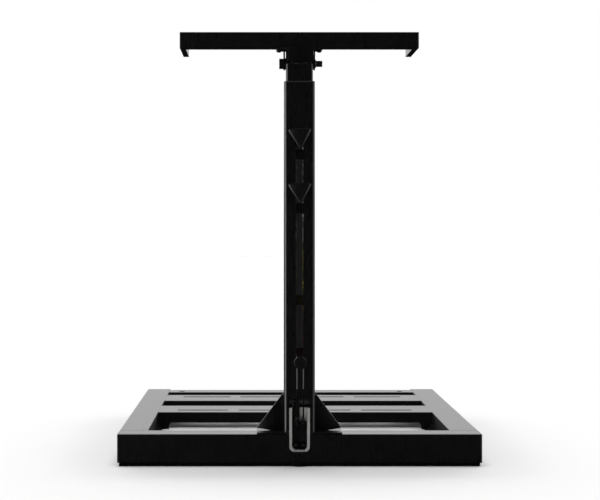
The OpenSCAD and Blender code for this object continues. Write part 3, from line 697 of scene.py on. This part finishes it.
knob_side = 0.064
knob_thick = 0.014
hub_r = 0.013
clamp_screw_d = 0.012
thread_pitch = 0.00175
thread_lap = 0.004
for which in ("upper", "lower"):
    low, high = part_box(which + "_clamp_knob")
    screw_low, screw_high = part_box(which + "_clamp_screw")
    middle_z = (screw_low.z + screw_high.z) / 2
    bpy.ops.mesh.primitive_cylinder_add(
        vertices=3, radius=knob_side / math.sqrt(3), depth=knob_thick,
        location=(0, low.y + knob_thick / 2, middle_z), rotation=(math.radians(-90), 0, 0))
    grip = settled(bpy.context.active_object)
    pick(grip, "EDGE", lambda centre, heading: abs(heading.y) > 0.9)
    bpy.ops.mesh.bevel(offset=knob_side * 0.1, segments=2, profile=0.35)
    pick(grip, "FACE", lambda centre, normal: normal.y < -0.9)
    bpy.ops.mesh.bevel(offset=0.0021, segments=1)
    pick(grip, "FACE", lambda centre, normal: normal.y < -0.98)
    bpy.ops.mesh.inset(thickness=0.0006)
    bpy.ops.transform.translate(value=(0, 0.0004, 0))
    pick(grip, "FACE", lambda centre, normal: normal.y > 0.9)
    bpy.ops.mesh.bevel(offset=0.0012, segments=2)
    pick(grip, "VERT", lambda centre, heading: True)
    bpy.ops.transform.rotate(value=math.radians(3), orient_axis="Y",
                             center_override=(0, low.y, middle_z))
    hold(grip)
    bpy.ops.mesh.primitive_cylinder_add(
        vertices=48, radius=hub_r, depth=high.y - low.y - knob_thick,
        location=(0, (low.y + knob_thick + high.y) / 2, middle_z),
        rotation=(math.radians(90), 0, 0))
    hub = settled(bpy.context.active_object)
    pick(hub, "FACE", lambda centre, normal: normal.y > 0.9)
    bpy.ops.mesh.bevel(offset=0.0015, segments=3)
    pick(hub, "FACE", lambda centre, normal: normal.y > 0.9)
    bpy.ops.mesh.inset(thickness=0.0055)
    bpy.ops.transform.translate(value=(0, -0.0008, 0))
    fitted(joined([grip, hub], which + "_clamp_grip"), which + "_clamp_grip", satin_moulding,
           which + "_knob", "knob_plastic", which + "_clamp_knob")
    stem = threaded((0, (high.y - thread_lap + screw_high.y) / 2, middle_z), clamp_screw_d,
                    screw_high.y - high.y + thread_lap, thread_pitch, (0, 1, 0))
    fitted(stem, which + "_clamp_thread", zinc_plate, which + "_knob", "zinc_steel",
           which + "_clamp_screw", smooth=20)


# ---- Release knob, pin and pull rods ----
# A turned black disc on a steel pin. Two chromed rods hang from its hub in black
# rubber sleeves, and hexagon nuts at their ends sit under the pedal's forks.

knob_low, knob_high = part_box("release_knob")
release_z = (knob_low.z + knob_high.z) / 2
disc_thick = 0.012
bpy.ops.mesh.primitive_cylinder_add(
    vertices=96, radius=(knob_high.x - knob_low.x) / 2, depth=disc_thick,
    location=(0, knob_low.y + disc_thick / 2, release_z), rotation=(math.radians(90), 0, 0))
disc = settled(bpy.context.active_object)
pick(disc, "FACE", lambda centre, normal: abs(normal.y) > 0.9)
bpy.ops.mesh.bevel(offset=0.0009, segments=3)
pick(disc, "FACE", lambda centre, normal: normal.y < -0.98)
bpy.ops.mesh.inset(thickness=0.0022)
bpy.ops.transform.translate(value=(0, 0.0004, 0))
pick(disc, "FACE", lambda centre, normal: normal.y > 0.98 and abs(centre.x) < 0.001)
bpy.ops.mesh.inset(thickness=0.0032)
bpy.ops.mesh.extrude_region_move(TRANSFORM_OT_translate={"value": (0, 0.011, 0)})
bpy.ops.mesh.bevel(offset=0.0012, segments=2)
fitted(disc, "release_disc", satin_moulding, "release", "knob_plastic", "release_knob")

softened("release_pin", 0.0008, zinc_plate)
ground_steel = finish("ground_steel", (0.05, 0.05, 0.052), (0.075, 0.075, 0.078), 0.2, 0.3,
                      (900, 900, 60), 0.03, (0.06, 0.06, 0.06), 0.2, metallic=1.0)
softened("pull_rods", 0.0003, ground_steel)
softened("rod_sleeves", 0.0003, matt_rubber)

nut_low, nut_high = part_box("rod_nuts")
nut_y = (nut_low.y + nut_high.y) / 2
nut_x = nut_high.x - 0.004
nut_across = 0.0072
rod_nuts = [hex_head((x, nut_y, (nut_low.z + nut_high.z) / 2), nut_across,
                     nut_high.z - nut_low.z, (0, 0, -1)) for x in (-nut_x, nut_x)]
fitted(joined(rod_nuts, "rod_hex_nuts"), "rod_hex_nuts", matt_liner, "release", "black_steel",
       "rod_nuts")


# ---- Pedal: a tongue of steel plate on a barrel, with a rubber toe pad ----
# The plate and its two forks are powder coated. The ribbed pad is held by two screws.

softened("pedal", 0.001, powder_coat)
softened("pedal_arms", 0.0007, powder_coat)

pad_low, pad_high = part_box("toe_pad")
pad_gap = Vector((0.0006, 0, 0.0005))
pad_low, pad_high = pad_low + pad_gap, pad_high - pad_gap
rib_cuts = 12
bpy.ops.mesh.primitive_cube_add(size=1, location=(pad_low + pad_high) / 2, scale=pad_high - pad_low)
pad = settled(bpy.context.active_object)
pick(pad, "EDGE", lambda centre, heading: abs(heading.z) > 0.9)
bpy.ops.mesh.subdivide(number_cuts=rib_cuts)
pad_step = (pad_high.z - pad_low.z) / (rib_cuts + 1)
pick(pad, "FACE", lambda centre, normal: normal.y < -0.9 and
     round((centre.z - pad_low.z) / pad_step - 0.5) % 2 == 1)
bpy.ops.mesh.inset(thickness=0.0002, use_individual=True)
bpy.ops.transform.translate(value=(0, 0.001, 0))
pick(pad, "EDGE", lambda centre, heading: abs(heading.y) > 0.9 and abs(centre.x) > 0.015 and
     (centre.z < pad_low.z + 0.0001 or centre.z > pad_high.z - 0.0001))
bpy.ops.mesh.bevel(offset=0.0045, segments=4)
fitted(pad, "ribbed_toe_pad", matt_rubber, "pedal", "rubber", "toe_pad")

dull_zinc = finish("dull_zinc", (0.03, 0.03, 0.03), (0.05, 0.05, 0.05), 0.35, 0.5,
                   (900, 900, 900), 0.1, metallic=1.0)
toe_low, toe_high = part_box("toe_pad_screws")
toe_head_w = 0.008
toe_head_h = 0.0018
toe_x = toe_high.x - toe_head_w / 2
toe_heads = [socket_screw((x, toe_low.y + toe_head_h / 2, (toe_low.z + toe_high.z) / 2),
                          toe_head_w, toe_head_h, (0, -1, 0)) for x in (-toe_x, toe_x)]
fitted(joined(toe_heads, "toe_screw_heads"), "toe_screw_heads", dull_zinc, "pedal", "zinc_steel",
       "toe_pad_screws")
